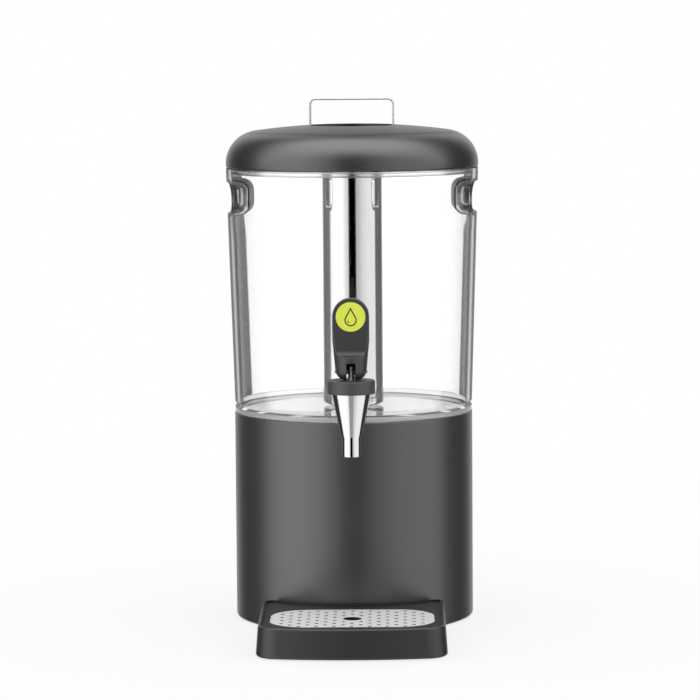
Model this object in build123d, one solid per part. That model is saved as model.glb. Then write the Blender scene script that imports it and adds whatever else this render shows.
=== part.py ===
from build123d import *
import math
import os

# Juice dispenser, in millimetres. +Z is up, the tap is towards -Y,
# the origin is on the axis of the base at the level of the table.

# General clearances
seat_gap = 0.3          # between pieces that lift off each other
rest_gap = 0.1          # between flat faces that rest on each other
running_gap = 0.06      # radial gap of a turning pin or collar
press_gap = 0.02        # radial gap of a pressed or screwed joint
over = 1.0              # how far a cut runs past the face that it opens

# Base
base_radius = 130.0
base_height = 226.4     # from the table to the rim that carries the container
base_wall = 2.0
base_edge_radius = 4.0
base_rim_radius = 1.2
base_flange_width = 24.0
top_flange_width = 26.0
foot_height = 1.0
foot_ring_width = 9.0
plate_thickness = 1.5
plate_skirt_depth = 6.0
base_screw_radius = 1.5
base_screw_head_radius = 3.0
base_screw_head_height = 1.1
base_screw_length = 6.0
base_screw_count = 4
base_screw_margin = 2.0 # from the flange's inner edge to the screw heads
foot_ring_margin = 2.0  # from the rounded edge to the rubber ring
plate_margin = 4.0      # from the rounded edge to the bottom plate

# Container
container_inset = 0.6   # of the container's foot from the base wall
container_flare = 8.1   # growth of the radius from foot to rim
container_height = 266.3
container_wall = 5.0
container_rim_radius = 1.0
container_foot_radius = 1.5
floor_thickness = 4.3
floor_fillet = 5.0
foot_recess = 2.0       # height of the hollow below the floor
foot_ring_thickness = 7.2
pocket_width = 87.0
pocket_height = 35.2
pocket_corner = 15.0
pocket_depth = 23.0
pocket_wall = 4.2
pocket_inner_radius = 8.0
pocket_draft = 10.0
pocket_drop = 32.0      # from the rim down to the middle of the pocket

# Tap
tap_reach = 45.0        # from the base wall out to the tap axis
shank_rise = 16.7       # shank axis above the container floor
shank_radius = 8.0
shank_bore = 5.0
flange_radius = 17.0
flange_thickness = 3.0
washer_thickness = 2.5
washer_radius = 16.4
seat_face_depth = 1.5   # depth of the flat cut for the front washer
boss_radius = 16.0
boss_height = 2.6
nut_flats = 24.0
nut_length = 7.5
nut_washer_thickness = 2.0
nut_washer_radius = 13.5
shank_tail = 4.0        # shank left over behind the nut
outlet_radius = 10.0
outlet_bore = 7.2
outlet_length = 20.7
cone_bottom_radius = 11.0
cone_top_radius = 21.0
cone_height = 45.5
cone_wall = 2.6
neck_radius = 19.6
neck_height = 5.5
bonnet_radius = 25.2
bonnet_height = 14.0
bonnet_top = 3.0
bonnet_edge_radius = 1.6
shank_below_cone_top = 14.0
spot_margin = 1.0       # of the flat cut around the flange
nut_chamfer = 0.6
nut_round = 0.97        # turned-off corners, as a share of the corner radius

# Valve
stem_radius = 3.0
stem_collar_radius = 6.0
stem_collar_height = 2.0
stem_over_pin = 6.0
cup_radius = 9.6
cup_height = 8.0
cup_socket = 5.0
cup_edge_radius = 1.2
cup_below_shank = 2.5   # from the shank bore down to the top of the cup
spring_play = 0.05
spring_radius = 8.0
spring_wire = 0.7
spring_turns = 5

# Lever
pin_rise = 9.0          # pin above the top of the bonnet
pin_radius = 1.5
pin_proud = 0.9
lever_height = 86.4     # from the top of the bonnet to the top of the lever
lever_width = 38.6
lever_taper = 2.7       # by which each side narrows towards the foot
barrel_round = 11.0     # lower edge of the foot, which rolls on the bonnet
ledge_rise = 24.6       # front edge of the ledge above the top of the bonnet
ledge_slope = 20.0      # fall of the ledge towards its front edge, in degrees
scoop_radius = 8.0      # hollow between the ledge, or the back, and the paddle
paddle_reach = 9.0      # front of the paddle in front of the stem's axis
paddle_thickness = 12.5
paddle_edge_radius = 1.2
paddle_straight = 5.0   # straight sides of the paddle's face below its round top
back_rise = 20.0        # edge of the sloping back above the top of the bonnet
back_slope = 35.0       # of the lever's back behind the paddle, in degrees
fork_slot = 9.6
slot_over_pin = 9.8
badge_radius = 15.8
badge_thickness = 1.6
badge_sunk = 0.2
badge_edge_radius = 0.4

# Lid
lid_overhang = 0.1      # beyond the rim of the container
lid_wall = 2.4
lid_rise = 46.8         # from the lower edge to the apex of the crown
lid_skirt = 4.0         # straight part above the lower edge
lid_shoulder_radius = 36.0
lid_edge_radius = 2.2
lid_recess_radius = 47.5
lid_recess_depth = 6.0
liner_thickness = 2.5
liner_lift = 1.2        # from the lid's lower edge to the liner
seal_thickness = 4.2
seal_depth = 6.2        # below the lower edge of the lid
seal_edge_radius = 0.8
handle_width = 92.6
handle_top = 74.9       # top of the handle above the lower edge of the lid
handle_strip = 2.2
handle_depth = 20.0
handle_corner = 7.0
handle_tab = 15.0
handle_screw_radius = 2.0
handle_screw_head_radius = 3.6
handle_screw_head_height = 2.2
handle_screw_length = 9.0
handle_screw_round = 0.8
handle_screw_inset = 10.5   # from the outside of the leg to the screw

# Ice tube
tube_radius = 33.0
tube_wall = 1.0
tube_bottom_gap = 2.0   # above the container floor
tube_bottom_radius = 3.0
tube_into_lid = 15.0    # top of the tube above the lower edge of the lid
collar_thickness = 2.0
collar_length = 17.0
lug_reach = 3.0
lug_height = 3.2
lug_angle = 24.0
lug_count = 3
lug_below_top = 6.0
socket_thickness = 4.0
socket_flange = 5.0     # width of the flange that rests on the liner
socket_flange_thickness = 2.0
lug_play = 0.3
lug_entry_play = 6.0    # extra angle of the entry slots
bayonet_turn = 45.0

# Drip tray
tray_height = 33.1
tray_width = 193.6      # at the lip
tray_length = 154.9     # at the lip, from its back, at the middle, to its front
tray_draft = 4.3        # outward slope of the walls, in degrees
tray_bow_radius = 430.0
tray_gap = 1.0          # between the wall of the base and the tray
tray_front_corner = 25.0
tray_tip_radius = 9.0
tray_wall = 2.5
tray_lip = 3.8
tray_lip_height = 2.2
tray_edge_radius = 2.6
tray_bottom_radius = 3.0
tray_rim = 1.2          # flat underside of the walls, inside their rounded edge
tray_floor = 2.5
tray_foot_height = 1.0
tray_foot_radius = 6.0
tray_foot_inset = 30.0  # from the edge of the grate to the feet
grate_width = 172.0
grate_depth = 113.0
grate_corner = 40.0
grate_thickness = 1.5
grate_edge_radius = 0.4
grate_below_lip = 3.2
grate_play = 0.5
grate_ledge = 5.0
grate_back_gap = 15.4   # from the back edge of the lip to the grate
hole_radius = 2.15
hole_pitch = 9.2        # between columns, and between rows
hole_margin = 8.0       # from the edge of the grate to the middle of a hole
finger_hole_radius = 9.8

# Derived sizes and levels
container_bottom_radius = base_radius - container_inset
container_top_radius = container_bottom_radius + container_flare
lid_radius = container_top_radius + lid_overhang
container_foot = base_height + rest_gap
floor_top = container_foot + foot_recess + floor_thickness
container_top = container_foot + container_height
lid_bottom = container_top + seat_gap
tap_y = -(base_radius + tap_reach)
shank_z = floor_top + shank_rise
cone_top_z = shank_z + shank_below_cone_top
cone_bottom_z = cone_top_z - cone_height
outlet_z = cone_bottom_z - outlet_length
bonnet_top_z = cone_top_z + bonnet_height
pin_z = bonnet_top_z + pin_rise


def outer_radius(z):
    """Outside radius of the container at a height."""
    rise = (z - container_foot) / container_height
    return container_bottom_radius + container_flare * rise


def disc(radius, bottom, top):
    """Upright cylinder on the main axis between two heights."""
    return Pos(0, 0, (bottom + top) / 2) * Cylinder(radius, top - bottom)


def ring(outer, inner, bottom, top):
    """Upright ring on the main axis between two heights."""
    return disc(outer, bottom, top) - disc(inner, bottom - over, top + over)


def along_y(radius, start, end, z):
    """Cylinder in the middle plane that lies along Y between two positions."""
    return Pos(0, (start + end) / 2, z) * Rot(90, 0, 0) * Cylinder(radius, end - start)


def along_x(radius, length, y, z):
    """Cylinder across the middle plane, along X."""
    return Pos(0, y, z) * Rot(0, 90, 0) * Cylinder(radius, length)


def edges_at(shape, height):
    """Edges of a shape that lie wholly at one height."""
    near = 0.01
    return shape.edges().filter_by_position(Axis.Z, height - near, height + near)


def upright_edges(shape):
    """Edges that run from the bottom of a shape to its top, from the front to the back."""
    climb = shape.bounding_box().size.Z / 2
    return shape.edges().filter_by(lambda edge: edge.bounding_box().size.Z > climb).sort_by(Axis.Y)


def sector_block(radius, angle, bottom, top):
    """Upright slice of a disc, centred on the X direction."""
    half = math.radians(angle) / 2
    tip = (2 * radius * math.cos(half), 2 * radius * math.sin(half))
    wedge = make_face(Polyline((0, 0), tip, (tip[0], -tip[1]), close=True))
    return Pos(0, 0, bottom) * extrude(wedge & Circle(radius), top - bottom)


# Base

base_inner_floor = foot_height + base_wall
base_flat_radius = base_radius - base_edge_radius
base_flange_inner = base_flat_radius - base_flange_width
top_opening = base_radius - base_wall - top_flange_width
container_foot_inner = container_bottom_radius - foot_ring_thickness


def base_screw_places():
    reach = base_flange_inner + base_screw_margin + base_screw_head_radius
    return PolarLocations(reach, base_screw_count, start_angle=45)


def base_screw_holes():
    top = base_inner_floor + plate_thickness + over
    hole = disc(base_screw_radius + press_gap, foot_height - over, top)
    return [place * hole for place in base_screw_places()]


def make_base_shell():
    outer = disc(base_radius, foot_height, base_height)
    outer = fillet(edges_at(outer, foot_height), base_edge_radius)
    outer = fillet(edges_at(outer, base_height), base_rim_radius)
    inner = disc(base_radius - base_wall, base_inner_floor, base_height - base_wall)
    inner = fillet(edges_at(inner, base_inner_floor), base_edge_radius - base_wall)
    shell = outer - inner
    shell -= disc(top_opening, base_height - base_wall - over, base_height + over)
    shell -= disc(base_flange_inner, foot_height - over, base_inner_floor + over)
    return shell - base_screw_holes()


def make_base_top_plate():
    radius = container_foot_inner - 2 * seat_gap
    plate = disc(radius, base_height, base_height + plate_thickness)
    skirt = top_opening - press_gap
    return plate + ring(skirt, skirt - base_wall, base_height - plate_skirt_depth, base_height)


def make_base_bottom_plate():
    plate = disc(base_flat_radius - plate_margin, base_inner_floor, base_inner_floor + plate_thickness)
    return plate - base_screw_holes()


def make_base_screws():
    head = disc(base_screw_head_radius, foot_height - base_screw_head_height, foot_height)
    shank = disc(base_screw_radius, foot_height, foot_height + base_screw_length)
    return Compound(children=[place * (head + shank) for place in base_screw_places()])


def make_base_foot_ring():
    outer = base_flat_radius - foot_ring_margin
    return ring(outer, outer - foot_ring_width, 0, foot_height)


# Container

pocket_z = container_top - pocket_drop
shank_wall_y = -outer_radius(shank_z)
front_seat_y = shank_wall_y + seat_face_depth
rear_seat_y = shank_wall_y + container_wall + boss_height


def pocket_block(side, grow):
    """Solid of one hand pocket, or of the bulge around it when grown by the wall."""
    middle = (side * outer_radius(pocket_z), 0, pocket_z)
    mouth = Plane(origin=middle, x_dir=(0, 1, 0), z_dir=(-side, 0, 0))
    width, height = pocket_width + 2 * grow, pocket_height + 2 * grow
    outline = mouth * RectangleRounded(width, height, pocket_corner + grow)
    inward = extrude(outline, pocket_depth + grow, taper=pocket_draft)
    far_face = inward.faces().sort_by(Axis.X)[0 if side > 0 else -1]
    inward = fillet(far_face.edges(), pocket_inner_radius + grow)
    return inward + extrude(outline, -pocket_depth)


def make_container():
    middle = container_foot + container_height / 2
    outer = Pos(0, 0, middle) * Cone(container_bottom_radius, container_top_radius, container_height)
    outer = fillet(edges_at(outer, container_foot), container_foot_radius)
    low_radius = outer_radius(floor_top) - container_wall
    inner_height = container_top - floor_top
    inner = Cone(low_radius, container_top_radius - container_wall, inner_height)
    inner = Pos(0, 0, floor_top + inner_height / 2) * inner
    inner = fillet(edges_at(inner, floor_top), floor_fillet)
    for side in (-1, 1):
        inner -= pocket_block(side, pocket_wall)
    inner -= along_y(boss_radius, shank_wall_y, rear_seat_y, shank_z)
    vessel = outer - inner
    vessel -= disc(container_foot_inner, container_foot - over, container_foot + foot_recess)
    for side in (-1, 1):
        vessel -= pocket_block(side, 0)
    vessel -= along_y(flange_radius + spot_margin, shank_wall_y - tap_reach, front_seat_y, shank_z)
    vessel -= along_y(shank_radius + seat_gap, shank_wall_y - tap_reach, rear_seat_y + over, shank_z)
    return fillet(edges_at(vessel, container_top), container_rim_radius)


# Tap

flange_back_y = front_seat_y - washer_thickness
nut_start_y = rear_seat_y + nut_washer_thickness
nut_end_y = nut_start_y + nut_length
shank_end_y = nut_end_y + shank_tail
collar_z = shank_z - shank_bore - cup_below_shank
valve_seat_z = collar_z - cup_height - rest_gap
cup_bottom_z = valve_seat_z + rest_gap
spring_low = collar_z + stem_collar_height
spring_high = bonnet_top_z - bonnet_top


def cone_radius(z):
    """Outside radius of the tap's cone at a height."""
    rise = (z - cone_bottom_z) / cone_height
    return cone_bottom_radius + (cone_top_radius - cone_bottom_radius) * rise


def turned(points):
    """Solid turned around the tap's axis from its half outline."""
    face = Plane.XZ * make_face(Polyline(*points, close=True))
    return Pos(0, tap_y, 0) * revolve(face, Axis.Z)


def make_tap_body():
    neck_z = cone_top_z + neck_height
    body = turned([(0, outlet_z), (outlet_radius, outlet_z), (outlet_radius, cone_bottom_z),
                   (cone_bottom_radius, cone_bottom_z), (cone_top_radius, cone_top_z),
                   (neck_radius, cone_top_z), (neck_radius, neck_z), (0, neck_z)])
    chamber = neck_radius - cone_wall
    seat = cone_radius(valve_seat_z) - cone_wall
    hollow = turned([(0, outlet_z - over), (outlet_bore, outlet_z - over), (outlet_bore, valve_seat_z),
                     (seat, valve_seat_z), (chamber, cone_top_z), (chamber, neck_z + over),
                     (0, neck_z + over)])
    body += along_y(shank_radius, tap_y, shank_end_y, shank_z)
    body += along_y(flange_radius, flange_back_y - flange_thickness, flange_back_y, shank_z)
    return body - hollow - along_y(shank_bore, tap_y, shank_end_y + over, shank_z)


def shank_washer(radius, start, end):
    hole = along_y(shank_radius + press_gap, start - over, end + over, shank_z)
    return along_y(radius, start, end, shank_z) - hole


def make_shank_washer_front():
    return shank_washer(washer_radius, flange_back_y, front_seat_y)


def make_shank_washer_rear():
    return shank_washer(nut_washer_radius, rear_seat_y, nut_start_y)


def make_shank_nut():
    corner = nut_flats / math.sqrt(3)
    blank = Pos(0, nut_start_y, shank_z) * extrude(Plane.XZ * RegularPolygon(corner, 6), -nut_length)
    rounding = along_y(corner * nut_round, nut_start_y, nut_end_y, shank_z)
    rounding = chamfer(rounding.edges().filter_by(GeomType.CIRCLE), nut_chamfer)
    hole = along_y(shank_radius + press_gap, nut_start_y - over, nut_end_y + over, shank_z)
    return (blank & rounding) - hole


def make_tap_bonnet():
    cap = disc(bonnet_radius, cone_top_z, bonnet_top_z)
    cap = fillet(edges_at(cap, bonnet_top_z), bonnet_edge_radius)
    cap = fillet(edges_at(cap, cone_top_z), bonnet_edge_radius / 2)
    cap -= disc(neck_radius + press_gap, cone_top_z - over, spring_high)
    cap -= disc(stem_radius + running_gap, cone_top_z, bonnet_top_z + over)
    return Pos(0, tap_y, 0) * cap


# Valve

def make_tap_stem():
    top = pin_z + stem_over_pin
    stem = disc(stem_radius, collar_z - cup_socket, top)
    stem = fillet(edges_at(stem, top), stem_radius / 3)
    stem += disc(stem_collar_radius, collar_z, spring_low)
    eye = along_x(pin_radius + running_gap, 4 * stem_radius, tap_y, pin_z)
    return Pos(0, tap_y, 0) * stem - eye


def make_seat_cup():
    cup = disc(cup_radius, cup_bottom_z, collar_z)
    cup = fillet(edges_at(cup, cup_bottom_z), cup_edge_radius)
    cup -= disc(stem_radius + press_gap, collar_z - cup_socket - press_gap, collar_z + over)
    return Pos(0, tap_y, 0) * cup


def make_return_spring():
    margin = spring_wire + spring_play
    length = spring_high - spring_low - 2 * margin
    path = Helix(length / spring_turns, length, spring_radius)
    section = Plane(path @ 0, z_dir=path % 0) * Circle(spring_wire)
    return Pos(0, tap_y, spring_low + margin) * sweep(section, path=path)


# Lever

lever_low = bonnet_top_z + seat_gap
lever_top = bonnet_top_z + lever_height
ledge_z = bonnet_top_z + ledge_rise
badge_z = lever_top - lever_width / 2
paddle_front = tap_y - paddle_reach
round_z = lever_low + barrel_round
barrel_radius = lever_width / 2 - lever_taper
face_corner = math.hypot(lever_width / 2, paddle_reach)
barrel_flare = (face_corner - barrel_radius) / (badge_z - paddle_straight - round_z)


def barrel_wall(z):
    """Outside radius of the lever's round body at a height above its lower edge."""
    return barrel_radius + barrel_flare * (z - round_z)


def make_barrel():
    """Round body of the lever, around the stem, wider towards its top."""
    flat = barrel_radius - barrel_round
    slant = math.sqrt(0.5) * barrel_round
    low_edge = ThreePointArc((flat, lever_low), (flat + slant, round_z - slant), (barrel_radius, round_z))
    top = lever_top + over
    sides = Polyline((barrel_radius, round_z), (barrel_wall(top), top), (0, top), (0, lever_low),
                     (flat, lever_low))
    return Pos(0, tap_y, 0) * revolve(Plane.XZ * make_face([low_edge, sides]), Axis.Z)


def make_crown():
    """Upright slab with the round top of the lever."""
    half, reach = lever_width / 2, 2 * lever_width
    arc = ThreePointArc((-half, badge_z), (0, lever_top), (half, badge_z))
    sides = Polyline((half, badge_z), (half, lever_low - over), (-half, lever_low - over), (-half, badge_z))
    return Pos(0, tap_y, 0) * extrude(Plane.XZ * make_face([arc, sides]), reach, both=True)


def scooped_cut(side, reach, edge_z, slope):
    """What is missing on one side of the paddle, down to a ledge that slopes outward:
    the paddle's face, a hollow below it and the ledge, drawn from the stem's axis."""
    lean, far, top = math.radians(slope), 2 * lever_width, lever_top + 2 * over
    inner = reach + scoop_radius * (1 - math.sin(lean))
    inner_z = edge_z + (barrel_wall(edge_z) - inner) * math.tan(lean)
    scoop_z = inner_z + scoop_radius * math.cos(lean)
    turn = (math.pi / 2 - lean) / 2
    mid = (reach + scoop_radius * (1 - math.cos(turn)), scoop_z - scoop_radius * math.sin(turn))
    scoop = ThreePointArc((reach, scoop_z), mid, (inner, inner_z))
    far_z = inner_z - (far - inner) * math.tan(lean)
    rest = Polyline((inner, inner_z), (far, far_z), (far, top), (reach, top), (reach, scoop_z))
    face = Plane(origin=(0, tap_y, 0), x_dir=(0, side, 0), z_dir=(side, 0, 0)) * make_face([scoop, rest])
    return extrude(face, lever_width, both=True)


def make_tap_lever():
    lever = make_barrel() & make_crown()
    front = scooped_cut(-1, paddle_reach, ledge_z, ledge_slope)
    back = scooped_cut(1, paddle_thickness - paddle_reach, bonnet_top_z + back_rise, back_slope)
    for cut in (front, back):
        before = lever
        lever = before - cut
        rims = new_edges(before, cut, combined=lever).filter_by(Axis.X, reverse=True)
        lever = fillet(rims, paddle_edge_radius)
    slot_low, slot_top = lever_low - over, pin_z + slot_over_pin
    slot = Box(fork_slot, 4 * lever_width, slot_top - slot_low)
    lever -= Pos(0, tap_y, (slot_low + slot_top) / 2) * slot
    lever -= along_x(pin_radius + press_gap, 2 * lever_width, tap_y, pin_z)
    return lever - along_y(badge_radius + press_gap, paddle_front - over, paddle_front + badge_thickness,
                           badge_z)


def make_lever_badge():
    badge = along_y(badge_radius, paddle_front + badge_sunk, paddle_front + badge_thickness, badge_z)
    return fillet(badge.faces().sort_by(Axis.Y)[0].edges(), badge_edge_radius)


def make_lever_pin():
    pin = along_x(pin_radius, 2 * (barrel_radius + pin_proud), tap_y, pin_z)
    return chamfer(pin.edges().filter_by(GeomType.CIRCLE), pin_radius / 4)


# Lid

apex_z = lid_bottom + lid_rise
skirt_z = lid_bottom + lid_skirt
shoulder_r = lid_radius - lid_shoulder_radius


def crown_radius():
    """Radius of the crown, centred on the axis and tangent to the shoulder."""
    drop = apex_z - skirt_z
    gain = shoulder_r ** 2 + drop ** 2 - lid_shoulder_radius ** 2
    return gain / (2 * (drop - lid_shoulder_radius))


def dome(inset):
    """Outside of the dome, or its inside when moved in by the wall."""
    crown, shoulder = crown_radius() - inset, lid_shoulder_radius - inset
    crown_z, top = apex_z - crown_radius(), apex_z - inset
    lean = math.atan2(shoulder_r, skirt_z - crown_z)
    turn = (lean + math.pi / 2) / 2
    meet = (shoulder_r + shoulder * math.sin(lean), skirt_z + shoulder * math.cos(lean))
    mid = (shoulder_r + shoulder * math.sin(turn), skirt_z + shoulder * math.cos(turn))
    half = (crown * math.sin(lean / 2), crown_z + crown * math.cos(lean / 2))
    edge = lid_radius - inset
    curve = [ThreePointArc((0, top), half, meet), ThreePointArc(meet, mid, (edge, skirt_z))]
    walls = Polyline((edge, skirt_z), (edge, lid_bottom), (0, lid_bottom), (0, top))
    return revolve(Plane.XZ * make_face([*curve, walls]), Axis.Z)


recess_rim_z = apex_z - crown_radius() + math.sqrt(crown_radius() ** 2 - lid_recess_radius ** 2)
recess_z = recess_rim_z - lid_recess_depth
handle_screw_x = handle_width / 2 - handle_screw_inset


def handle_screw_holes():
    hole = disc(handle_screw_radius + press_gap, recess_z - lid_wall - over, recess_z + handle_strip + over)
    return [Pos(side * handle_screw_x, 0, 0) * hole for side in (-1, 1)]


def make_lid_shell():
    outer = fillet(edges_at(dome(0), lid_bottom), lid_edge_radius)
    outer -= disc(lid_recess_radius, recess_z, apex_z + over)
    inner = dome(lid_wall) - disc(lid_recess_radius + lid_wall, recess_z - lid_wall, apex_z + over)
    return outer - inner - handle_screw_holes()


pan_low = lid_bottom + liner_lift
pan_top = pan_low + liner_thickness
tube_top_z = lid_bottom + tube_into_lid
collar_radius = tube_radius + collar_thickness
socket_low = tube_top_z - collar_length
socket_inner = collar_radius + running_gap
groove_radius = socket_inner + lug_reach + lug_play
socket_outer = groove_radius + socket_thickness
lug_z = tube_top_z - lug_below_top


def make_lid_liner():
    return ring(lid_radius - lid_wall - press_gap, socket_outer + press_gap, pan_low, pan_top)


def make_tube_socket():
    socket = ring(socket_outer, socket_inner, socket_low, tube_top_z)
    socket += ring(socket_outer + socket_flange, socket_inner, pan_top, pan_top + socket_flange_thickness)
    groove = lug_height / 2 + lug_play
    socket -= disc(groove_radius, lug_z - groove, lug_z + groove)
    entry = sector_block(groove_radius, lug_angle + lug_entry_play, socket_low - over, lug_z)
    for turn in range(lug_count):
        socket -= Rot(0, 0, bayonet_turn + turn * 360 / lug_count) * entry
    return socket


def make_lid_seal():
    low = lid_bottom - seal_depth
    outer = outer_radius(low) - container_wall - seat_gap
    seal = ring(outer, outer - seal_thickness, low, pan_low)
    return fillet(edges_at(seal, low), seal_edge_radius)


def make_lid_handle():
    height = lid_bottom + handle_top - recess_z
    outer = RectangleRounded(handle_width, 2 * height, handle_corner)
    gap_width, gap_height = handle_width - 2 * handle_strip, height - handle_strip
    inner = RectangleRounded(gap_width, 2 * gap_height, handle_corner - handle_strip)
    loop = (outer - inner) & Pos(0, height / 2) * Rectangle(handle_width, height)
    for side in (-1, 1):
        tab = Pos(side * (handle_width - handle_tab) / 2, handle_strip / 2)
        loop += tab * Rectangle(handle_tab, handle_strip)
    strip = extrude(Plane.XZ * loop, handle_depth / 2, both=True)
    return Pos(0, 0, recess_z) * strip - handle_screw_holes()


def make_handle_screws():
    seat = recess_z + handle_strip
    top = seat + handle_screw_head_height
    head = fillet(edges_at(disc(handle_screw_head_radius, seat, top), top), handle_screw_round)
    screw = head + disc(handle_screw_radius, seat - handle_screw_length, seat)
    return Compound(children=[Pos(side * handle_screw_x, 0, 0) * screw for side in (-1, 1)])


# Ice tube

tube_bottom_z = floor_top + tube_bottom_gap


def make_ice_tube():
    outside = disc(tube_radius, tube_bottom_z, tube_top_z)
    outside = fillet(edges_at(outside, tube_bottom_z), tube_bottom_radius)
    low = tube_bottom_z + tube_wall
    inside = disc(tube_radius - tube_wall, low, tube_top_z + over)
    inside = fillet(edges_at(inside, low), tube_bottom_radius - tube_wall)
    return outside - inside


def make_tube_collar():
    collar = ring(collar_radius, tube_radius + press_gap, socket_low + seat_gap, tube_top_z)
    lug = sector_block(collar_radius + lug_reach, lug_angle, lug_z - lug_height / 2, lug_z + lug_height / 2)
    lug -= disc(tube_radius + collar_thickness / 2, lug_z - lug_height, lug_z + lug_height)
    for turn in range(lug_count):
        collar += Rot(0, 0, turn * 360 / lug_count) * lug
    return collar


# Drip tray

tray_slope = math.tan(math.radians(tray_draft))
tray_back = base_radius + tray_gap + (tray_height - foot_height - base_edge_radius) * tray_slope
tray_front = tray_back + tray_length
deck_z = tray_height - tray_lip_height
grate_top = tray_height - grate_below_lip
grate_low = grate_top - grate_thickness
grate_y = -(tray_back + grate_back_gap + grate_depth / 2)


def tray_block(inset, bottom, top):
    """Solid inside the tray's drafted walls, or moved in from them, between two heights:
    bowed front, straight sides, back around the base."""
    low, high = [inset - (tray_height - z) * tray_slope for z in (bottom, top)]
    half, middle, height = tray_width / 2, (bottom + top) / 2, top - bottom
    section = Polyline((low - half, bottom), (half - low, bottom), (half - high, top), (high - half, top),
                       close=True)
    block = extrude(Plane.XZ * make_face(section), 2 * tray_front)
    bow = Cone(tray_bow_radius - low, tray_bow_radius - high, height)
    block &= Pos(0, tray_bow_radius - tray_front, middle) * bow
    block -= Pos(0, 0, middle) * Cone(tray_back + low, tray_back + high, height)
    block = fillet(upright_edges(block)[:2], tray_front_corner - inset)
    return fillet(upright_edges(block)[-2:], tray_tip_radius - inset)


def grate_block(grow, bottom, top):
    """Upright block with the outline of the grate, grown or shrunk all round."""
    face = RectangleRounded(grate_width + 2 * grow, grate_depth + 2 * grow, grate_corner + grow)
    return Pos(0, grate_y, bottom) * extrude(face, top - bottom)


def make_drip_tray():
    low = tray_foot_height
    tray = tray_block(0, low, tray_height)
    tray = fillet(edges_at(tray, tray_height), tray_edge_radius)
    tray = fillet(edges_at(tray, low), tray_bottom_radius)
    tray -= tray_block(tray_lip, deck_z, tray_height + tray_tip_radius)
    tray -= grate_block(grate_play, grate_low, tray_height + over)
    tray -= grate_block(-grate_ledge, low + tray_floor, tray_height + over)
    under = tray_block(tray_bottom_radius + tray_rim, low - over, grate_low - tray_wall)
    under -= grate_block(tray_wall - grate_ledge, low - 2 * over, tray_height)
    return tray - under


def make_tray_feet():
    spread_x, spread_y = grate_width - 2 * tray_foot_inset, grate_depth - 2 * tray_foot_inset
    foot = Pos(0, grate_y, 0) * disc(tray_foot_radius, 0, tray_foot_height)
    return Compound(children=[place * foot for place in GridLocations(spread_x, spread_y, 2, 2)])


def hole_fits(x, y):
    """True where a hole clears the edge of the grate and the finger hole."""
    if math.hypot(x, y) < finger_hole_radius + hole_radius:
        return False
    side_x = max(abs(x) - (grate_width / 2 - grate_corner), 0)
    side_y = max(abs(y) - (grate_depth / 2 - grate_corner), 0)
    return math.hypot(side_x, side_y) <= grate_corner - hole_margin


def make_drip_grate():
    plate = fillet(edges_at(grate_block(0, grate_low, grate_top), grate_top), grate_edge_radius)
    columns = int(grate_width / 2 // hole_pitch)
    rows = int(grate_depth / 2 // hole_pitch)
    hole = disc(hole_radius, grate_low - over, grate_top + over)
    holes = [Pos(0, grate_y, 0) * disc(finger_hole_radius, grate_low - over, grate_top + over)]
    for column in range(-columns, columns + 1):
        for row in range(-rows, rows + 1):
            x, y = column * hole_pitch, row * hole_pitch
            if (column + row) % 2 and hole_fits(x, y):
                holes.append(Pos(x, grate_y + y, 0) * hole)
    return plate - holes


pieces = {
    "base_shell": make_base_shell,
    "base_top_plate": make_base_top_plate,
    "base_bottom_plate": make_base_bottom_plate,
    "base_screws": make_base_screws,
    "base_foot_ring": make_base_foot_ring,
    "container": make_container,
    "tap_body": make_tap_body,
    "shank_washer_front": make_shank_washer_front,
    "shank_washer_rear": make_shank_washer_rear,
    "shank_nut": make_shank_nut,
    "tap_bonnet": make_tap_bonnet,
    "tap_stem": make_tap_stem,
    "seat_cup": make_seat_cup,
    "return_spring": make_return_spring,
    "tap_lever": make_tap_lever,
    "lever_badge": make_lever_badge,
    "lever_pin": make_lever_pin,
    "lid_shell": make_lid_shell,
    "lid_liner": make_lid_liner,
    "tube_socket": make_tube_socket,
    "lid_seal": make_lid_seal,
    "lid_handle": make_lid_handle,
    "handle_screws": make_handle_screws,
    "ice_tube": make_ice_tube,
    "tube_collar": make_tube_collar,
    "drip_tray": make_drip_tray,
    "tray_feet": make_tray_feet,
    "drip_grate": make_drip_grate,
}

os.makedirs("parts", exist_ok=True)
for name, make in pieces.items():
    export_step(make(), "parts/" + name + ".step")
    print("made", name)
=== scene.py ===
import math

import bmesh
import bpy
from mathutils import Matrix, Vector


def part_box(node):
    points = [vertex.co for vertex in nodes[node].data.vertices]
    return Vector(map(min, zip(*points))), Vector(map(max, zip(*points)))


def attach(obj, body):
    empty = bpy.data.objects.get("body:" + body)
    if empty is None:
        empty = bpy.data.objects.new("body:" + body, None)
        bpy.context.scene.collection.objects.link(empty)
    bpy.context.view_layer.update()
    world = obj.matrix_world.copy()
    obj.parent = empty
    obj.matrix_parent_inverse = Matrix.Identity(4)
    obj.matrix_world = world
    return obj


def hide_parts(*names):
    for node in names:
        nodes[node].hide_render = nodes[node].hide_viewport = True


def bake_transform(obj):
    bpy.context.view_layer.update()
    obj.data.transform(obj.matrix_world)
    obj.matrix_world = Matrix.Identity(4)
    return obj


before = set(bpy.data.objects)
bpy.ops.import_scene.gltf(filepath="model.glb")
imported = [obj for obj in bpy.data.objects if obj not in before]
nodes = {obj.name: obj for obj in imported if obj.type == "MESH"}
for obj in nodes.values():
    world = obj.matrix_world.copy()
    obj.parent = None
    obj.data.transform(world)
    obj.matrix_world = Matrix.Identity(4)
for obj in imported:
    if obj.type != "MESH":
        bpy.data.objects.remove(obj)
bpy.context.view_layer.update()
scene = bpy.context.scene
mm = 0.001
fullTurn = 2 * math.pi
print("frame loaded:", len(nodes), "nodes")


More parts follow.
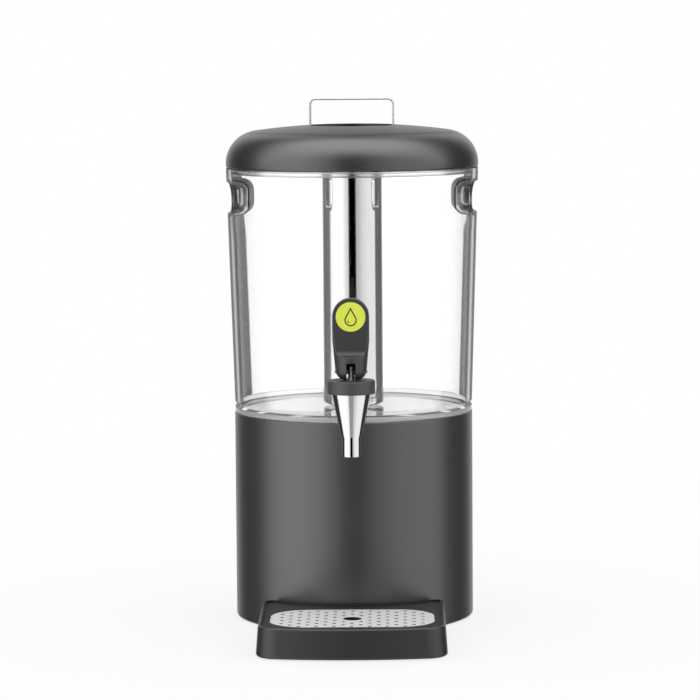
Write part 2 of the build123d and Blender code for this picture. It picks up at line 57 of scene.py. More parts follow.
# Shader maths: one socket, with the operators that the finishes use
class Wire:
    def __init__(self, tree, socket=None):
        self.tree = tree
        self.socket = socket

    def node(self, kind, settings=None, inputs=None, out=0):
        made = self.tree.nodes.new(kind)
        for key, value in (settings or {}).items():
            setattr(made, key, value)
        for key, value in (inputs or {}).items():
            if isinstance(value, Wire):
                self.tree.links.new(value.socket, made.inputs[key])
            else:
                made.inputs[key].default_value = value
        return Wire(self.tree, made.outputs[out] if len(made.outputs) else None)

    def other(self, name):
        return Wire(self.tree, self.socket.node.outputs[name])

    def maths(self, operation, first, second=0.0):
        return self.node("ShaderNodeMath", {"operation": operation}, {0: first, 1: second})

    def __add__(self, other):
        return self.maths("ADD", self, other)

    def __radd__(self, other):
        return self.maths("ADD", other, self)

    def __sub__(self, other):
        return self.maths("SUBTRACT", self, other)

    def __rsub__(self, other):
        return self.maths("SUBTRACT", other, self)

    def __mul__(self, other):
        return self.maths("MULTIPLY", self, other)

    def __rmul__(self, other):
        return self.maths("MULTIPLY", other, self)

    def step(self, low, high):  # 0 below low, 1 above high, smooth between
        return self.node("ShaderNodeMapRange", {"interpolation_type": "SMOOTHSTEP"},
                         {"Value": self, "From Min": low, "From Max": high})

    def blend(self, low, high):  # colour from low to high by this value
        return self.node("ShaderNodeMix", {"data_type": "RGBA"}, {0: self, 6: low, 7: high}, 2)

    def shaders(self, share, first, second):  # second over first, by a share
        return self.node("ShaderNodeMixShader", {}, {0: share, 1: first, 2: second})


def newFinish(name):
    finish = bpy.data.materials.new(name)
    finish.use_nodes = True
    finish.node_tree.nodes.clear()
    wire = Wire(finish.node_tree)
    place = wire.node("ShaderNodeTexCoord", out="Object")
    return finish, wire, place


def noise(wire, place, scale, detail, stretch=None):
    if stretch:
        place = wire.node("ShaderNodeMapping", {}, {"Vector": place, "Scale": stretch})
    return wire.node("ShaderNodeTexNoise", {}, {"Vector": place, "Scale": scale, "Detail": detail}, "Fac")


def spotsOf(wire, place):  # distance from the main axis, height above the table
    parts = wire.node("ShaderNodeSeparateXYZ", {}, {0: place})
    flat = wire.node("ShaderNodeVectorMath", {"operation": "MULTIPLY"}, {0: place, 1: (1, 1, 0)})
    return wire.node("ShaderNodeVectorMath", {"operation": "LENGTH"}, {0: flat}, "Value"), parts.other("Z")


def bump(wire, height, strength, deep):  # deep in mm
    return wire.node("ShaderNodeBump", {}, {"Height": height, "Strength": strength, "Distance": deep * mm})


def close(wire, shader):
    wire.node("ShaderNodeOutputMaterial", {}, {"Surface": shader})


def surface(wire, **inputs):
    words = {"colour": "Base Color", "metal": "Metallic", "rough": "Roughness", "ior": "IOR",
             "normal": "Normal", "coat": "Coat Weight", "coatRough": "Coat Roughness",
             "specular": "Specular IOR Level", "clear": "Transmission Weight", "alpha": "Alpha"}
    return wire.node("ShaderNodeBsdfPrincipled", {}, {words[key]: value for key, value in inputs.items()})


def grey(tone, blue=0.0):
    return (tone, tone, tone + blue, 1)


# Matt powder coat: a fine even grain and a very slight unevenness of tone. A seat is a level
# face, inside a radius, that is masked while coating and stays bare
powder = {"grain": 1500.0, "patch": 14.0, "patchShare": 0.7, "grainRough": 0.05, "patchRough": 0.04,
          "ior": 1.75, "bump": 0.10, "deep": 0.08}


def powderCoat(name, dark, pale, rough, seat=None):
    finish, wire, place = newFinish(name)
    fine = noise(wire, place, powder["grain"], detail=3.0)
    patch = noise(wire, place, powder["patch"], detail=2.0)
    colour = (powder["patchShare"] * patch + (1 - powder["patchShare"]) * fine).blend(dark, pale)
    uneven = rough + powder["grainRough"] * fine + powder["patchRough"] * patch
    metal = 0.0
    if seat:
        away, level = spotsOf(wire, place)
        bare = level.step(*seat["level"]) * (1 - away.step(*seat["inside"]))
        colour, metal = bare.blend(colour, seat["colour"]), bare
    close(wire, surface(wire, colour=colour, rough=uneven, metal=metal, ior=powder["ior"],
                        normal=bump(wire, fine, powder["bump"], powder["deep"])))
    return finish


# Moulded plastic: an even spark-eroded texture with a soft shine
mould = {"patch": 25.0, "grainRough": 0.08, "patchRough": 0.04, "ior": 1.5, "bump": 0.08, "deep": 0.06}


def moulded(name, dark, pale, rough, grain, strength=mould["bump"]):
    finish, wire, place = newFinish(name)
    fine = noise(wire, place, grain, detail=2.0)
    patch = noise(wire, place, mould["patch"], detail=3.0)
    uneven = rough + mould["grainRough"] * fine + mould["patchRough"] * patch
    close(wire, surface(wire, colour=patch.blend(dark, pale), rough=uneven, ior=mould["ior"],
                        normal=bump(wire, fine, strength, mould["deep"])))
    return finish


# Clear moulded polycarbonate with faint flow marks, and painted shade: a dark surface mixed in where it is
# seen edge-on, more so in the hand pockets. Just above its floor it doesn't bend what lies behind, and its
# foot is satin outside
def clearPlastic(name, look):
    finish, wire, place = newFinish(name)
    flow = noise(wire, place, look["flow"], detail=3.0, stretch=look["flowAlong"])
    away, level = spotsOf(wire, place)
    outside = away.step(*look["outside"])
    aboveFoot, aboveThin = level.step(*look["footTop"]), level.step(*look["thinTop"])

    # painted shade: a dark surface over the clear wall at edge-on angles, over a wider range in the hand
    # pockets
    facing = wire.node("ShaderNodeLayerWeight", {}, {"Blend": 0.5}, "Facing")
    sideways = wire.maths("ABSOLUTE", wire.node("ShaderNodeSeparateXYZ", {}, {0: place}))
    pocket = level.step(*look["pocketLow"]) * (1 - level.step(*look["pocketTop"]))
    pocket = pocket * sideways.step(*look["pocketFrom"])
    paintedEdgeShade = wire.maths("MAXIMUM", facing.step(*look["paintedEdgeShade"]), facing.step(*look["paintedPocketShade"]) * pocket)
    clear = surface(wire, colour=flow.blend(*look["clear"]), rough=0.0, ior=look["ior"], clear=1.0,
                    specular=look["shine"])
    edge = surface(wire, colour=look["edge"], rough=look["edgeRough"], specular=look["edgeShine"])
    wall = wire.shaders(paintedEdgeShade * aboveThin, clear, edge)

    thin = surface(wire, colour=flow.blend(*look["thin"]), rough=look["thinRough"], alpha=look["thinShare"])
    band = wire.maths("MAXIMUM", level.step(*look["thinFrom"]), outside * aboveFoot) * (1 - aboveThin)
    satin = surface(wire, colour=flow.blend(*look["satin"]), rough=look["satinRough"])
    foot = outside * (1 - aboveFoot) * look["satinShare"]
    close(wire, wire.shaders(foot, wire.shaders(band, wall, thin), satin))
    return finish


# Polished metal: almost a mirror, with faint wiping marks
polish = {"smear": 40.0, "smearAlong": (1.0, 1.0, 0.3), "smearFrom": (0.5, 0.8), "smearRough": 0.03}


def polished(name, colour, edge, rough):
    finish, wire, place = newFinish(name)
    smear = noise(wire, place, polish["smear"], detail=4.0, stretch=polish["smearAlong"])
    close(wire, surface(wire, colour=smear.blend(colour, edge), metal=1.0,
                        rough=rough + smear.step(*polish["smearFrom"]) * polish["smearRough"]))
    return finish


# Brushed metal: long fine lines along one direction. Punched walls, which stand upright, are darker: painted
# shade inside the holes
brush = {"patch": 30.0, "patchShare": 0.4, "lineRough": 0.16, "deep": 0.03, "levelFrom": (0.4, 0.7)}


def brushed(name, colour, edge, rough, stretch, strength, metal=1.0, wall=None):
    finish, wire, place = newFinish(name)
    lines = noise(wire, place, scale=1.0, detail=3.0, stretch=stretch)
    patch = noise(wire, place, brush["patch"], detail=2.0)
    tone = ((1 - brush["patchShare"]) * lines + brush["patchShare"] * patch).blend(colour, edge)
    if wall:
        normal = wire.node("ShaderNodeTexCoord", out="Normal")
        upward = wire.maths("ABSOLUTE", wire.node("ShaderNodeSeparateXYZ", {}, {0: normal}, "Z"))
        # painted shade: upright faces, the walls of the holes, take the dark wall colour
        tone = upward.step(*brush["levelFrom"]).blend(wall, tone)
    close(wire, surface(wire, colour=tone, metal=metal, rough=rough + brush["lineRough"] * lines,
                        normal=bump(wire, lines, strength, brush["deep"])))
    return finish


# Soft translucent plastic and silicone
milk = {"cloud": 60.0, "cloudRough": 0.1, "ior": 1.45}


def milky(name, colour, edge, rough, clear):
    finish, wire, place = newFinish(name)
    cloud = noise(wire, place, milk["cloud"], detail=3.0)
    close(wire, surface(wire, colour=cloud.blend(colour, edge), rough=rough + milk["cloudRough"] * cloud,
                        ior=milk["ior"], clear=clear))
    return finish


# Glossy coloured insert with a clear layer on it, and painted shade: a darker line along its round edge,
# where it sits in the lever
insert = {"cloud": 120.0, "grain": 2500.0, "rough": 0.38, "grainRough": 0.1, "coat": 0.35, "coatRough": 0.12}


def glossyInsert(name, colour, edge, line=None):
    finish, wire, place = newFinish(name)
    cloud = noise(wire, place, insert["cloud"], detail=3.0)
    fine = noise(wire, place, insert["grain"], detail=1.0)
    tone = cloud.blend(colour, edge)
    # painted shade: darker near the round edge, where the insert meets the lever
    if line:
        flat = wire.node("ShaderNodeVectorMath", {"operation": "MULTIPLY"}, {0: place, 1: (1, 0, 1)})
        away = wire.node("ShaderNodeVectorMath", {"operation": "DISTANCE"},
                         {0: flat, 1: line["middle"]}, "Value")
        tone = away.step(*line["from"]).blend(tone, line["colour"])
    close(wire, surface(wire, colour=tone, rough=insert["rough"] + insert["grainRough"] * fine,
                        coat=insert["coat"], coatRough=insert["coatRough"]))
    return finish


def span(start, low, high):  # from low to high, in mm past a start in metres
    return start + low * mm, start + high * mm


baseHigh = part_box("base_shell")[1]
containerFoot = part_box("container")[0].z
badgeLow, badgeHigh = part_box("lever_badge")
badgeMiddle, badgeRadius = (badgeLow + badgeHigh) / 2, (badgeHigh.x - badgeLow.x) / 2
bareSeat = {"level": span(baseHigh.z, -0.5, -0.2), "inside": span(baseHigh.x, -1.6, -1.3),
            "colour": grey(0.62)}
wallLook = {"flow": 30.0, "flowAlong": (1.0, 1.0, 0.25), "outside": span(baseHigh.x, -3.0, -2.4),
            "clear": ((0.985, 0.992, 0.992, 1), (0.995, 1.0, 1.0, 1)), "ior": 1.57, "shine": 0.18,
            # edge, edgeRough and edgeShine, with the edge-on ranges, set the painted shade at edge-on angles
            "edge": grey(0.03, 0.002), "paintedEdgeShade": (0.735, 0.84), "edgeRough": 0.3, "edgeShine": 0.1,
            "pocketFrom": span(0, 108.0, 114.0), "pocketLow": span(containerFoot, 217.0, 221.0),
            "pocketTop": span(containerFoot, 248.0, 252.0), "paintedPocketShade": (0.40, 0.78),
            "thin": ((0.80, 0.81, 0.81, 1), (0.86, 0.87, 0.87, 1)), "thinShare": 0.22, "thinRough": 0.06,
            "thinFrom": span(containerFoot, 6.6, 7.2), "thinTop": span(containerFoot, 10.5, 12.5),
            "satin": ((0.38, 0.385, 0.385, 1), (0.43, 0.435, 0.435, 1)), "satinShare": 0.8,
            "satinRough": 0.35, "footTop": span(containerFoot, 5.4, 6.2)}
# painted shade along the badge's round edge
badgeRimShade = {"middle": (badgeMiddle.x, 0, badgeMiddle.z), "from": span(badgeRadius, -0.55, -0.15),
             "colour": (0.16, 0.18, 0.02, 1)}
along = {"fine": (60.0, 2500.0, 2500.0), "grate": (50.0, 2200.0, 2200.0), "plate": (40.0, 1800.0, 1800.0)}

# The lid's copy of the coat is darker than the base's: painted shade, for the darker look of the lid and its
# skirt
powderLid = powderCoat("powderLid", grey(0.014, 0.0005), grey(0.019, 0.0005), rough=0.28)
powderBase = powderCoat("powderBase", grey(0.021, 0.0005), grey(0.027, 0.0005), rough=0.29, seat=bareSeat)
trayBlack = moulded("trayBlack", grey(0.014, 0.0005), grey(0.019, 0.0005), rough=0.34, grain=1800.0)
leverBlack = moulded("leverBlack", grey(0.026, 0.001), grey(0.034, 0.001), rough=0.36, grain=2200.0)
bonnetBlack = moulded("bonnetBlack", grey(0.040, 0.001), grey(0.052, 0.001), rough=0.42, grain=2200.0)
hiddenBlack = moulded("hiddenBlack", grey(0.030, 0.001), grey(0.040, 0.001), rough=0.45, grain=1200.0)
darkRubber = moulded("darkRubber", grey(0.030), grey(0.045), rough=0.62, grain=900.0, strength=0.15)
clearWall = clearPlastic("clearWall", wallLook)
mirrorSteel = polished("mirrorSteel", grey(0.62), grey(0.66), rough=0.03)
chromePlate = polished("chromePlate", grey(0.60, 0.01), grey(0.65, 0.01), rough=0.04)
brightSteel = brushed("brightSteel", grey(0.66), grey(0.76), rough=0.20, stretch=along["fine"], strength=0.08)
handleSteel = brushed("handleSteel", grey(0.66), grey(0.74), rough=0.40, stretch=along["fine"], strength=0.05)
plateSteel = brushed("plateSteel", grey(0.79), grey(0.86), rough=0.16, stretch=along["plate"], strength=0.05)
# the grate's hole walls get painted shade, near black
grateSteel = brushed("grateSteel", grey(0.84, -0.005), grey(0.92, -0.005), rough=0.42,
                     stretch=along["grate"], strength=0.10, metal=0.25, wall=grey(0.02))
linerMilk = milky("linerMilk", (0.80, 0.81, 0.80, 1), (0.86, 0.87, 0.86, 1), rough=0.4, clear=0.35)
sealMilk = milky("sealMilk", (0.93, 0.94, 0.93, 1), (0.97, 0.975, 0.97, 1), rough=0.12, clear=0.95)
badgeGreen = glossyInsert("badgeGreen", (0.66, 0.74, 0.055, 1), (0.72, 0.80, 0.075, 1), badgeRimShade)
badgeInk = glossyInsert("badgeInk", (0.016, 0.018, 0.010, 1), (0.024, 0.026, 0.014, 1))
print("finishes made:", len(bpy.data.materials))

nodeFinish = {
    "base_shell": powderBase, "lid_shell": powderLid, "base_top_plate": plateSteel,
    "base_bottom_plate": hiddenBlack, "base_screws": brightSteel, "base_foot_ring": darkRubber,
    "container": clearWall, "tap_body": chromePlate, "shank_washer_front": darkRubber,
    "shank_washer_rear": darkRubber, "shank_nut": brightSteel, "tap_bonnet": bonnetBlack,
    "tap_stem": brightSteel, "seat_cup": darkRubber, "return_spring": brightSteel,
    "tap_lever": leverBlack, "lever_badge": badgeGreen, "lever_pin": brightSteel,
    "lid_liner": linerMilk, "tube_socket": linerMilk, "lid_seal": sealMilk,
    "lid_handle": handleSteel, "handle_screws": brightSteel, "ice_tube": mirrorSteel,
    "tube_collar": hiddenBlack, "drip_tray": trayBlack, "tray_feet": darkRubber, "drip_grate": grateSteel,
}
for node, finish in nodeFinish.items():
    for materialSlot in nodes[node].material_slots:
        materialSlot.material = finish
print("nodes dressed:", len(nodeFinish))

# Pieces made here, in mm until toMetres puts them in place.
tolerance = {"merge": 1e-4, "same": 1e-3}


def newPiece(name, mesh, finish, body, replaced=()):
    bmesh.ops.remove_doubles(mesh, verts=mesh.verts, dist=tolerance["merge"] * mm)
    bmesh.ops.recalc_face_normals(mesh, faces=mesh.faces)
    data = bpy.data.meshes.new(name)
    mesh.to_mesh(data)
    mesh.free()
    data.materials.append(finish)
    piece = bpy.data.objects.new(name, data)
    scene.collection.objects.link(piece)
    if isinstance(body, str):
        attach(piece, body)
    else:
        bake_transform(piece)
    if replaced:
        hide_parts(*replaced)
    print("piece made:", name, len(data.polygons), "faces")


def same(first, second):
    return abs(first - second) < tolerance["same"]


def vertsOf(geom):
    return [part for part in geom if isinstance(part, bmesh.types.BMVert)]


def openEdges(mesh):
    return [edge for edge in mesh.edges if edge.is_boundary]


def looseEdges(mesh):
    return [edge for edge in mesh.edges if edge.is_wire]


def roundEdges(mesh, edges, reach, steps):
    bmesh.ops.bevel(mesh, geom=edges, offset=reach, offset_type="OFFSET", affect="EDGES", segments=steps,
                    profile=0.5, material=-1)


def lathe(mesh, outline, steps, closed=False):  # outline of (radius, height) about the upright axis
    spots = [mesh.verts.new((radius, 0, height)) for radius, height in outline]
    edges = [mesh.edges.new(pair) for pair in zip(spots, spots[1:])]
    if closed:
        edges.append(mesh.edges.new((spots[-1], spots[0])))
    bmesh.ops.spin(mesh, geom=spots + edges, cent=(0, 0, 0), axis=(0, 0, 1), angle=fullTurn, steps=steps,
                   use_merge=True)


def toMetres(mesh, spot):
    bmesh.ops.scale(mesh, verts=mesh.verts, vec=(mm, mm, mm))
    bmesh.ops.translate(mesh, verts=mesh.verts, vec=spot)


# Drop on the badge, in line work, with a glint inside
drop = {"radius": 6.4, "tip": 13.3, "line": 1.25, "thick": 0.12, "steps": 40, "glint": (2.7, 3.6),
        "glintFrom": 200.0, "glintTurn": 62.0, "glintSteps": 12}
mesh = bmesh.new()
bend = math.acos(drop["radius"] / drop["tip"])
start = mesh.verts.new((drop["radius"] * math.sin(bend), 0, drop["radius"] * math.cos(bend)))
turned = bmesh.ops.spin(mesh, geom=[start], cent=(0, 0, 0), axis=(0, 1, 0), angle=fullTurn - 2 * bend,
                        steps=drop["steps"])
tip = mesh.verts.new((0, 0, drop["tip"]))
mesh.edges.new((turned["geom_last"][0], tip))
mesh.edges.new((tip, start))
whole = bmesh.ops.edgeloop_fill(mesh, edges=mesh.edges[:])["faces"]
bmesh.ops.inset_region(mesh, faces=whole, thickness=drop["line"], use_even_offset=True, use_boundary=True)
bmesh.ops.delete(mesh, geom=whole, context="FACES_ONLY")
lean = math.radians(drop["glintFrom"])
ends = [mesh.verts.new((reach * math.sin(lean), 0, reach * math.cos(lean))) for reach in drop["glint"]]
bmesh.ops.spin(mesh, geom=ends + [mesh.edges.new(ends)], cent=(0, 0, 0), axis=(0, 1, 0),
               angle=math.radians(drop["glintTurn"]), steps=drop["glintSteps"])
raised = bmesh.ops.extrude_face_region(mesh, geom=mesh.faces[:], use_keep_orig=True)["geom"]
bmesh.ops.translate(mesh, verts=vertsOf(raised), vec=(0, -drop["thick"], 0))
toMetres(mesh, (badgeMiddle.x, badgeLow.y, badgeMiddle.z - (drop["tip"] - drop["radius"]) / 2 * mm))
newPiece("badge_drop", mesh, badgeInk, "lever")


# Screws with a hexagon socket, built upright at the origin with their seat at height 0
def socketScrew(size):
    mesh = bmesh.new()
    head, high, fillet = size["head"], size["high"], size["fillet"]
    shank, tail, rim = size["shank"], -size["length"], size["socket"] * size["rim"]
    outline = [(0, tail), (shank, tail), (shank, 0), (head, 0)]
    for turn in (90, 60, 30, 0):  # rounded edge of the head, from its side to its top
        lean = math.radians(turn)
        outline.append((head - fillet + fillet * math.sin(lean), high - fillet + fillet * math.cos(lean)))
    lathe(mesh, outline + [(rim, high)], size["steps"])
    bmesh.ops.remove_doubles(mesh, verts=mesh.verts, dist=tolerance["merge"])
    opening = openEdges(mesh)
    sides = 6  # of the socket
    bmesh.ops.create_circle(mesh, segments=sides, radius=size["socket"],
                            matrix=Matrix.Translation((0, 0, high)))
    bmesh.ops.subdivide_edges(mesh, edges=looseEdges(mesh), cuts=size["steps"] // sides - 1)
    hexagon = looseEdges(mesh)
    bmesh.ops.bridge_loops(mesh, edges=opening + hexagon)
    sunk = bmesh.ops.extrude_edge_only(mesh, edges=hexagon)["geom"]
    bmesh.ops.translate(mesh, verts=vertsOf(sunk), vec=(0, 0, -size["deep"]))
    bmesh.ops.holes_fill(mesh, edges=openEdges(mesh))
    return mesh


def repeatAt(mesh, spots):  # copies at the spots, without the first one
    pattern = mesh.verts[:] + mesh.edges[:] + mesh.faces[:]
    for spot in spots:
        copy = bmesh.ops.duplicate(mesh, geom=pattern)["geom"]
        bmesh.ops.translate(mesh, verts=vertsOf(copy), vec=spot)
    bmesh.ops.delete(mesh, geom=mesh.verts[:len(mesh.verts) // (len(spots) + 1)], context="VERTS")


handleScrew = {"head": 3.6, "high": 2.2, "fillet": 0.8, "shank": 2.0, "length": 9.0, "socket": 1.45,
               "rim": 1.15, "deep": 1.3, "steps": 24}
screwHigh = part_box("handle_screws")[1]
reach = screwHigh.x - handleScrew["head"] * mm
mesh = socketScrew(handleScrew)
toMetres(mesh, (0, 0, screwHigh.z - handleScrew["high"] * mm))
repeatAt(mesh, [(side * reach, 0, 0) for side in (-1, 1)])
newPiece("handle_socket_screws", mesh, brightSteel, "lid", ["handle_screws"])

baseScrew = {"head": 3.0, "high": 1.1, "fillet": 0.5, "shank": 1.5, "length": 6.0, "socket": 1.15,
             "rim": 1.15, "deep": 0.8, "steps": 24}
screwLow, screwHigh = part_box("base_screws")
reach = screwHigh.x - baseScrew["head"] * mm
mesh = socketScrew(baseScrew)
bmesh.ops.rotate(mesh, verts=mesh.verts, cent=(0, 0, 0), matrix=Matrix.Rotation(math.pi, 3, "X"))
toMetres(mesh, (0, 0, screwLow.z + baseScrew["high"] * mm))
repeatAt(mesh, [(side * reach, front * reach, 0) for side in (-1, 1) for front in (-1, 1)])
newPiece("base_socket_screws", mesh, brightSteel, "base", ["base_screws"])

# Handle bent from a strip, with rounded edges
strip = {"thick": 2.2, "corner": 7.0, "heel": 3.4, "tab": 15.0, "foldSteps": 8, "edge": 0.85, "edgeSteps": 4}
handleLow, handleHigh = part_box("lid_handle")
wide, deep, tall = handleHigh.x / mm, handleHigh.y / mm, (handleHigh.z - handleLow.z) / mm
thick = strip["thick"]
legs, roof, end = wide - thick, tall - thick, wide - strip["tab"]
right = [(legs, roof), (legs, thick), (end, thick), (end, 0), (wide, 0), (wide, tall)]
outline = right + [(-x, z) for x, z in right[::-1]]
mesh = bmesh.new()
flat = mesh.faces.new([mesh.verts.new((x, -deep, z)) for x, z in outline])
pulled = bmesh.ops.extrude_face_region(mesh, geom=[flat], use_keep_orig=True)["geom"]
bmesh.ops.translate(mesh, verts=vertsOf(pulled), vec=(0, 2 * deep, 0))
for x, z, reach in ((wide, tall, strip["corner"]), (legs, roof, strip["corner"] - thick),
                    (wide, 0, strip["heel"]), (legs, thick, strip["heel"] - thick)):
    folds = [edge for edge in mesh.edges if same(edge.verts[0].co.x, edge.verts[1].co.x)
             and all(same(abs(v.co.x), x) and same(v.co.z, z) for v in edge.verts)]
    roundEdges(mesh, folds, reach, strip["foldSteps"])
rims = [edge for edge in mesh.edges if same(edge.verts[0].co.y, edge.verts[1].co.y)
        and all(same(abs(v.co.y), deep) for v in edge.verts)]
roundEdges(mesh, rims, strip["edge"], strip["edgeSteps"])
toMetres(mesh, (0, 0, handleLow.z))
newPiece("handle_strip", mesh, handleSteel, "lid", ["lid_handle"])

# Web that closes the lever's slot behind the stem
web = {"half": 4.75, "behind": 11.0, "thick": 2.0, "below": 4.0, "above": 9.7, "edge": 0.5, "edgeSteps": 2}
stemLow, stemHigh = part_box("tap_stem")
pinLow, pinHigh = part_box("lever_pin")
mesh = bmesh.new()
bmesh.ops.create_cube(mesh, size=1.0)
bmesh.ops.scale(mesh, verts=mesh.verts, vec=(2 * web["half"], web["thick"], web["below"] + web["above"]))
roundEdges(mesh, mesh.edges[:], web["edge"], web["edgeSteps"])
toMetres(mesh, (0, (stemLow.y + stemHigh.y) / 2 + (web["behind"] + web["thick"] / 2) * mm,
                (pinLow.z + pinHigh.z) / 2 + (web["above"] - web["below"]) / 2 * mm))
newPiece("slot_web", mesh, leverBlack, "lever")

# Thread on the tail of the tap's shank, behind the nut. Flank, start and short are shares of the pitch
thread = {"radius": 8.0, "pitch": 1.5, "crest": 0.35, "sunk": 0.15, "flank": 0.42, "start": 0.6,
          "short": 0.8, "steps": 32}
tailLow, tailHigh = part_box("shank_nut")[1].y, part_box("tap_body")[1].y
washerLow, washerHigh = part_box("shank_washer_rear")
turns = (tailHigh - tailLow) / mm / thread["pitch"] - thread["short"]
steps = int(turns * thread["steps"])
root, crest = thread["radius"] - thread["sunk"], thread["radius"] + thread["crest"]
flank = thread["flank"] * thread["pitch"]
mesh = bmesh.new()
spots = [mesh.verts.new(spot) for spot in ((root, -flank, 0), (crest, 0, 0), (root, flank, 0))]
edges = [mesh.edges.new((spots[i], spots[i - 1])) for i in range(3)]
bmesh.ops.spin(mesh, geom=spots + edges, cent=(0, 0, 0), axis=(0, 1, 0), angle=fullTurn * turns, steps=steps,
               dvec=(0, turns * thread["pitch"] / steps, 0))
bmesh.ops.holes_fill(mesh, edges=openEdges(mesh))
toMetres(mesh, (0, tailLow + thread["start"] * thread["pitch"] * mm, (washerLow.z + washerHigh.z) / 2))
newPiece("shank_thread", mesh, chromePlate, "container")

# Coil that closes the valve, baked in place where it is built
coil = {"wire": 0.7, "turns": 5, "corners": 10, "steps": 36}
coilLow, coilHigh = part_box("return_spring")
coilMiddle = (coilLow + coilHigh) / 2
coilRadius = (coilHigh.x - coilLow.x) / 2 / mm - coil["wire"]
coilLength = (coilHigh.z - coilLow.z) / mm - 2 * coil["wire"]
steps = coil["turns"] * coil["steps"]
mesh = bmesh.new()
section = bmesh.ops.create_circle(mesh, segments=coil["corners"], radius=coil["wire"])["verts"]
bmesh.ops.rotate(mesh, verts=section, cent=(0, 0, 0), matrix=Matrix.Rotation(math.radians(90), 3, "X"))
bmesh.ops.translate(mesh, verts=section, vec=(coilRadius, 0, coil["wire"]))
bmesh.ops.spin(mesh, geom=mesh.verts[:] + mesh.edges[:], cent=(0, 0, 0), axis=(0, 0, 1),
               angle=fullTurn * coil["turns"], steps=steps, dvec=(0, 0, coilLength / steps))
bmesh.ops.holes_fill(mesh, edges=openEdges(mesh))
toMetres(mesh, (coilMiddle.x, coilMiddle.y, coilLow.z))
coilAxis = [(coilMiddle.x, coilMiddle.y, corner.z) for corner in (coilLow, coilHigh)]
newPiece("return_coil", mesh, brightSteel, ("valve", "container", *coilAxis),
         ["return_spring"])

# Seal of the lid, with two lips towards the wall. Widest is where a lip ends, in shares of its height
lip = {"body": 1.5, "wall": 4.2, "edge": 0.5, "height": 1.3, "widest": (0.5, 0.8), "low": (0.9, 4.1),
       "steps": 160}
sealLow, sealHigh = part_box("lid_seal")
outer, tall = sealHigh.x / mm, (sealHigh.z - sealLow.z) / mm
inner, body = outer - lip["wall"], outer - lip["body"]
outline = [(inner, lip["edge"]), (inner + lip["edge"], 0), (body - lip["edge"], 0), (body, lip["edge"])]
for foot in lip["low"]:
    outline += [(body, foot), *((outer, foot + share * lip["height"]) for share in lip["widest"]),
                (body, foot + lip["height"])]
outline += [(body, tall), (inner, tall)]
mesh = bmesh.new()
lathe(mesh, outline, lip["steps"], closed=True)
toMetres(mesh, (0, 0, sealLow.z))
newPiece("lid_lip_seal", mesh, sealMilk, "lid", ["lid_seal"])

# Camera, with focal, middle and imageWidth in pixels
view = {"azimuth": 0.8155, "pitch": 5.5177, "roll": -0.0070, "focal": 3553.9, "imageWidth": 700,
        "distance": 3.8749, "height": 0.6665, "middle": 353.26, "sensor": 36.0, "farthest": 50.0}
lens = bpy.data.cameras.new("viewLens")
lens.sensor_width = view["sensor"]
lens.lens = view["focal"] * view["sensor"] / view["imageWidth"]
lens.shift_x = (view["imageWidth"] / 2 - view["middle"]) / view["imageWidth"]
lens.clip_end = view["farthest"]
camera = bpy.data.objects.new("viewCamera", lens)
scene.collection.objects.link(camera)
turn = math.radians(view["azimuth"])
spot = Vector((view["distance"] * math.sin(turn), -view["distance"] * math.cos(turn), view["height"]))
camera.matrix_world = (Matrix.Translation(spot) @ Matrix.Rotation(turn, 4, "Z")
                       @ Matrix.Rotation(math.radians(90 - view["pitch"]), 4, "X")
                       @ Matrix.Rotation(view["roll"], 4, "Z"))
scene.camera = camera

# Studio. What is mirrored: two soft boxes beside the camera with a dark gap between them, one above, dark
# sides and a white backdrop with a gap. What is seen through the clear wall: white with dark bands.
# Angles are in degrees, from the camera's side or from level; backGapFrom, topWide and floorFrom are
# shares of a direction
studio = {"gapEdge": (12.5, 15.5), "middleEdge": (-1.0, 1.0), "boxFullAt": 52.0,
          "leftEdge": (86.0, 100.0), "leftLow": 1.1, "leftFull": 2.1, "leftFall": 0.25,
          "leftFallFrom": (58.0, 90.0), "rightEdge": (91.0, 101.0), "rightLow": 0.75, "rightFull": 1.32,
          "sideTone": 0.05, "backEdge": (134.0, 166.0), "backGap": (166.0, 174.0), "backGapTone": 0.35,
          "backGapFrom": (0.14, 0.30), "floorFrom": (-0.42, -0.24), "floorTone": 0.45,
          "topStart": (32.0, 68.0), "topEnd": (96.0, 124.0), "topTone": 3.3, "topFade": 0.55,
          "topWide": (0.35, 0.9), "bandEvery": 45.0, "bandEdge": (7.2, 7.8), "bandEnd": (30.0, 36.0),
          "bandTone": 0.14, "through": 1.32, "fill": 1.0}
sky = bpy.data.worlds.new("studio")
scene.world = sky
sky.use_nodes = True
sky.node_tree.nodes.clear()
air = Wire(sky.node_tree)
toward = air.node("ShaderNodeTexCoord", out="Generated")
east = air.node("ShaderNodeSeparateXYZ", {}, {0: toward})
north, height = east.other("Y"), east.other("Z")
around = air.maths("ARCTAN2", east, 0 - north) * math.degrees(1)  # 0 towards the camera, + to the right
offAxis = air.maths("ABSOLUTE", around)
tilt = air.maths("ARCTAN2", height, 0 - north) * math.degrees(1)  # 0 towards the camera, 90 straight up
besideGap = offAxis.step(*studio["gapEdge"])
rise = offAxis.step(studio["gapEdge"][0], studio["boxFullAt"])


def softBox(low, full, edge):  # grows from the gap outwards and ends at its edge
    return (low + (full - low) * rise) * (1 - offAxis.step(*edge))


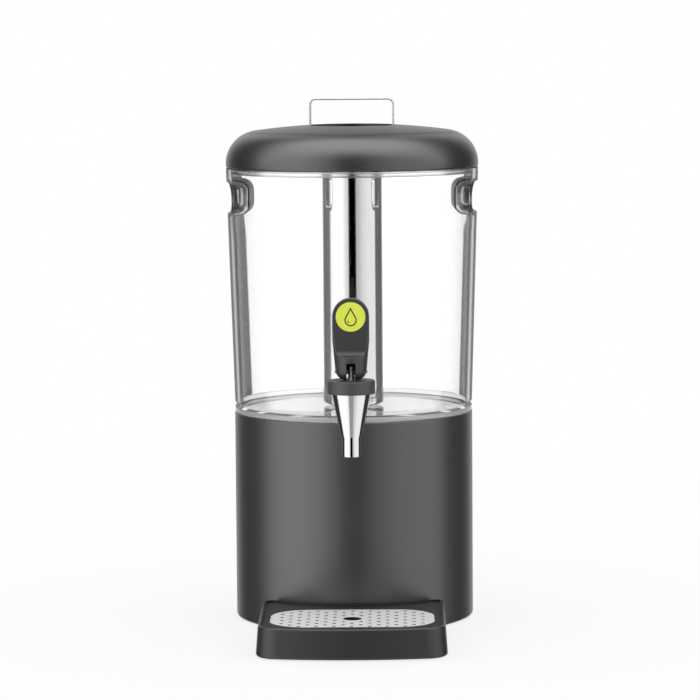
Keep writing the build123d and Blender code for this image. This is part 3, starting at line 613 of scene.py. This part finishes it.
leftBox = softBox(studio["leftLow"], studio["leftFull"], studio["leftEdge"])
leftBox = leftBox * (1 - studio["leftFall"] * offAxis.step(*studio["leftFallFrom"]))
rightBox = softBox(studio["rightLow"], studio["rightFull"], studio["rightEdge"])
rightSide = around.step(*studio["middleEdge"])
boxes = (leftBox * (1 - rightSide) + rightBox * rightSide) * besideGap
behind = offAxis.step(*studio["backEdge"])
backGap = offAxis.step(*studio["backGap"]) * height.step(*studio["backGapFrom"])
backdrop = behind * (1 - (1 - studio["backGapTone"]) * backGap)
sides = studio["sideTone"] * offAxis.step(*studio["leftEdge"]) * (1 - behind)
table = studio["floorTone"] * (1 - besideGap) * (1 - height.step(*studio["floorFrom"]))
above = tilt.step(*studio["topStart"]) * (1 - tilt.step(*studio["topEnd"]))
above = above * (1 - studio["topFade"] * air.maths("ABSOLUTE", east).step(*studio["topWide"]))
mirrored = (boxes + sides + backdrop + table) * (1 - above) + studio["topTone"] * above
fromBand = air.maths("ABSOLUTE", air.maths("PINGPONG", around, studio["bandEvery"]))
bands = fromBand.step(*studio["bandEdge"]) * (1 - fromBand.step(*studio["bandEnd"]))
through = studio["through"] * (1 - (1 - studio["bandTone"]) * bands)

direct = air.node("ShaderNodeLightPath", out="Is Camera Ray")
glossy, clearRay = direct.other("Is Glossy Ray"), direct.other("Is Transmission Ray")
straight = clearRay * (1 - air.maths("MINIMUM", direct.other("Glossy Depth"), 1.0))
reflected = air.maths("MAXIMUM", glossy, clearRay) * (1 - straight)
level = straight * through + reflected * mirrored + (1 - straight - reflected) * studio["fill"]
level = direct + (1 - direct) * level
glow = air.node("ShaderNodeBackground", {}, {"Color": (1, 1, 1, 1), "Strength": level})
air.node("ShaderNodeOutputWorld", {}, {"Surface": glow})
sky.cycles.sampling_method = "NONE"

# Floor: mostly white of its own, so that it keeps a faint shadow, and gone before its rim
ground = {"radius": 1.4, "fade": (0.9, 1.38), "corners": 96, "tone": 0.98, "shade": 0.24}
disc = bmesh.new()
bmesh.ops.create_circle(disc, cap_ends=True, segments=ground["corners"], radius=ground["radius"])
data = bpy.data.meshes.new("ground")
disc.to_mesh(data)
disc.free()
floor = bpy.data.objects.new("ground", data)
scene.collection.objects.link(floor)
finish, wire, place = newFinish("groundPale")
reach = wire.node("ShaderNodeVectorMath", {"operation": "LENGTH"}, {0: place}, "Value")
pale = wire.node("ShaderNodeBsdfDiffuse", {}, {"Color": grey(ground["tone"])})
lit = wire.node("ShaderNodeEmission", {}, {"Color": (1, 1, 1, 1), "Strength": 1.0})
gone = wire.node("ShaderNodeBsdfTransparent")
close(wire, wire.shaders(reach.step(*ground["fade"]), wire.shaders(ground["shade"], lit, pale), gone))
floor.visible_glossy = False
data.materials.append(finish)
print("studio ready")

scene.view_settings.view_transform = "Standard"
